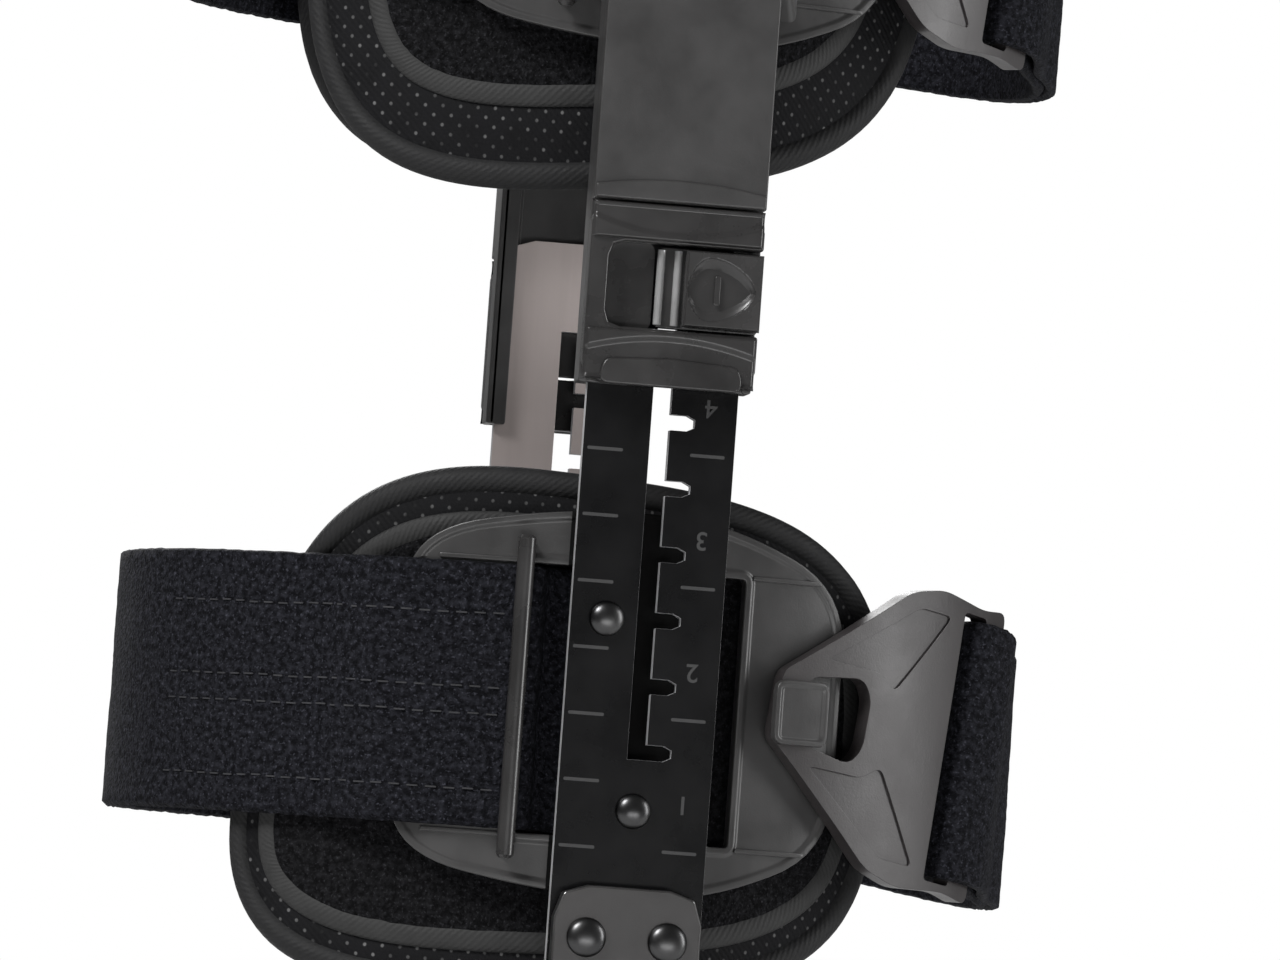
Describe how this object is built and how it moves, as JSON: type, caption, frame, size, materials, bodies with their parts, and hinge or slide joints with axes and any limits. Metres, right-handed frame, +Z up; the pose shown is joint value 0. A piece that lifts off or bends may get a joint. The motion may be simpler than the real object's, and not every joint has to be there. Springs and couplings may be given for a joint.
{
  "type": "post-op knee brace",
  "caption": "Hinged knee brace with slotted bars, sliding cuffs with thumb latches, padded plates and loop straps on quick-release buckles.",
  "frame": {"origin": "middle of the knee axis, midway between the two hinges", "axes": "+Z up the thigh, +X to the front of the leg, -Y to the outer side with the buckles"},
  "size_m": [0.1802, 0.175, 0.6248],
  "materials": {
    "bar_black": "black anodised, semi-gloss",
    "plate_moulding": "dark grey moulded plastic with a soft sheen",
    "sleeve_moulding": "dark grey moulded plastic",
    "latch_moulding": "black moulded plastic",
    "buckle_moulding": "warm grey moulded plastic, fine grain",
    "hinge_metal": "grey satin metal",
    "rivet_metal": "dark polished steel",
    "strap_loop": "black brushed loop fabric with stitch rows",
    "pad_fabric": "black foam pad in loop fabric with a smooth binding"
  },
  "bodies": {
    "thigh": {"thigh_outer_bar": "bar_black", "thigh_outer_wing_plate": "plate_moulding", "thigh_outer_near_pad": "pad_fabric", "thigh_outer_hinge_leaf": "hinge_metal", "thigh_outer_high_rivet": "rivet_metal", "thigh_outer_low_rivet": "rivet_metal", "thigh_outer_rear_hinge_rivet": "rivet_metal", "thigh_outer_front_hinge_rivet": "rivet_metal", "thigh_inner_bar": "bar_black", "thigh_inner_wing_plate": "plate_moulding", "thigh_inner_near_pad": "pad_fabric", "thigh_inner_hinge_leaf": "hinge_metal", "thigh_inner_high_rivet": "rivet_metal", "thigh_inner_low_rivet": "rivet_metal", "thigh_inner_rear_hinge_rivet": "rivet_metal", "thigh_inner_front_hinge_rivet": "rivet_metal", "thigh_near_strap": "strap_loop", "thigh_near_buckle": "buckle_moulding", "outer_hinge_cap": "hinge_metal", "inner_hinge_cap": "hinge_metal"},
    "thigh_cuff": {"thigh_outer_cuff_shell": "plate_moulding", "thigh_outer_sleeve_cover": "sleeve_moulding", "thigh_outer_far_pad": "pad_fabric", "thigh_inner_cuff_shell": "plate_moulding", "thigh_inner_sleeve_cover": "sleeve_moulding", "thigh_inner_far_pad": "pad_fabric", "thigh_far_strap": "strap_loop", "thigh_far_buckle": "buckle_moulding"},
    "thigh_outer_latch": {"thigh_outer_latch": "latch_moulding"},
    "thigh_inner_latch": {"thigh_inner_latch": "latch_moulding"},
    "calf": {"calf_outer_bar": "bar_black", "calf_outer_wing_plate": "plate_moulding", "calf_outer_near_pad": "pad_fabric", "calf_outer_hinge_leaf": "hinge_metal", "calf_outer_high_rivet": "rivet_metal", "calf_outer_low_rivet": "rivet_metal", "calf_outer_rear_hinge_rivet": "rivet_metal", "calf_outer_front_hinge_rivet": "rivet_metal", "calf_inner_bar": "bar_black", "calf_inner_wing_plate": "plate_moulding", "calf_inner_near_pad": "pad_fabric", "calf_inner_hinge_leaf": "hinge_metal", "calf_inner_high_rivet": "rivet_metal", "calf_inner_low_rivet": "rivet_metal", "calf_inner_rear_hinge_rivet": "rivet_metal", "calf_inner_front_hinge_rivet": "rivet_metal", "calf_near_strap": "strap_loop", "calf_near_buckle": "buckle_moulding"},
    "calf_cuff": {"calf_outer_cuff_shell": "plate_moulding", "calf_outer_sleeve_cover": "sleeve_moulding", "calf_outer_far_pad": "pad_fabric", "calf_inner_cuff_shell": "plate_moulding", "calf_inner_sleeve_cover": "sleeve_moulding", "calf_inner_far_pad": "pad_fabric", "calf_far_strap": "strap_loop", "calf_far_buckle": "buckle_moulding"},
    "calf_outer_latch": {"calf_outer_latch": "latch_moulding"},
    "calf_inner_latch": {"calf_inner_latch": "latch_moulding"}
  },
  "joints": [
    {"name": "knee", "type": "hinge", "parent": "thigh", "child": "calf", "pos_m": [0, 0, 0], "axis": [0, 1, 0], "range_deg": [-10, 75]},
    {"name": "thigh_length", "type": "slide", "parent": "thigh", "child": "thigh_cuff", "axis": [0, 0, -1], "range_m": [0, 0.0508]},
    {"name": "calf_length", "type": "slide", "parent": "calf", "child": "calf_cuff", "axis": [0, 0, 1], "range_m": [0, 0.0508]},
    {"name": "thigh_outer_latch_slide", "type": "slide", "parent": "thigh_cuff", "child": "thigh_outer_latch", "axis": [-1, 0, 0], "range_m": [0, 0.0048], "stiffness_N_per_m": 600, "springref_m": -0.002},
    {"name": "thigh_inner_latch_slide", "type": "slide", "parent": "thigh_cuff", "child": "thigh_inner_latch", "axis": [-1, 0, 0], "range_m": [0, 0.0048], "stiffness_N_per_m": 600, "springref_m": -0.002},
    {"name": "calf_outer_latch_slide", "type": "slide", "parent": "calf_cuff", "child": "calf_outer_latch", "axis": [-1, 0, 0], "range_m": [0, 0.0048], "stiffness_N_per_m": 600, "springref_m": -0.002},
    {"name": "calf_inner_latch_slide", "type": "slide", "parent": "calf_cuff", "child": "calf_inner_latch", "axis": [-1, 0, 0], "range_m": [0, 0.0048], "stiffness_N_per_m": 600, "springref_m": -0.002}
  ]
}
